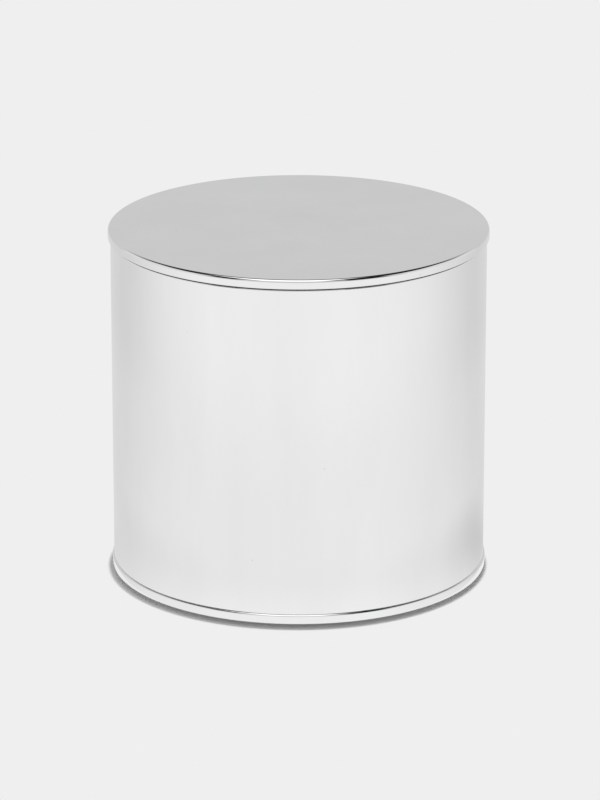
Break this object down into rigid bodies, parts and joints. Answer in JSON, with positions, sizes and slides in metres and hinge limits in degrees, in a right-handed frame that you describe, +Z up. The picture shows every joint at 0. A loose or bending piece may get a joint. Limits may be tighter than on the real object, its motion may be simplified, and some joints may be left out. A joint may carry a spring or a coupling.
{
  "type": "lidded candle tin",
  "caption": "Round candle tin: a polished steel sleeve between a thin disc lid and base, with a wax-filled inner cup, wicks, and a sealed plug lid that lifts off and turns.",
  "frame": {"origin": "on the floor, at the centre of the foot pad's underside", "axes": "+Z up along the tin's axis, towards the lid; one wick stands on +Y"},
  "size_m": [0.1, 0.1, 0.094],
  "materials": {
    "polished_steel": "mirror-polished",
    "brushed_steel": "spun, satin",
    "tinned_steel": "dull tinned",
    "foot_rubber": "matt, fine grain",
    "cork": "pressed cork granules",
    "wax": "soft satin wax",
    "cotton": "braided, waxed",
    "adhesive": "foam tape",
    "moulded_plastic": "fine moulded satin",
    "silicone": "matt translucent",
    "liner_board": "matt board"
  },
  "bodies": {
    "tin": {"outer_sleeve": "polished_steel", "base_plate": "polished_steel", "foot_pad": "foot_rubber", "cup_spacer": "cork", "inner_cup": "brushed_steel", "cup_collar": "moulded_plastic", "wax_fill": "wax", "wick_1": "cotton", "wick_2": "cotton", "wick_3": "cotton", "wick_tab_1": "tinned_steel", "wick_tab_2": "tinned_steel", "wick_tab_3": "tinned_steel", "wick_sticker_1": "adhesive", "wick_sticker_2": "adhesive", "wick_sticker_3": "adhesive"},
    "seal": {"lid_seal": "silicone"},
    "lid": {"lid_plate": "polished_steel", "lid_bond_pad": "adhesive", "lid_plug": "moulded_plastic", "lid_liner": "liner_board"}
  },
  "joints": [
    {"name": "lid_lift", "type": "slide", "parent": "tin", "child": "seal", "axis": [0, 0, 1], "range_m": [0, 0.08]},
    {"name": "lid_turn", "type": "hinge", "parent": "seal", "child": "lid", "pos_m": [0, 0, 0.0915], "axis": [0, 0, 1], "continuous": true}
  ]
}
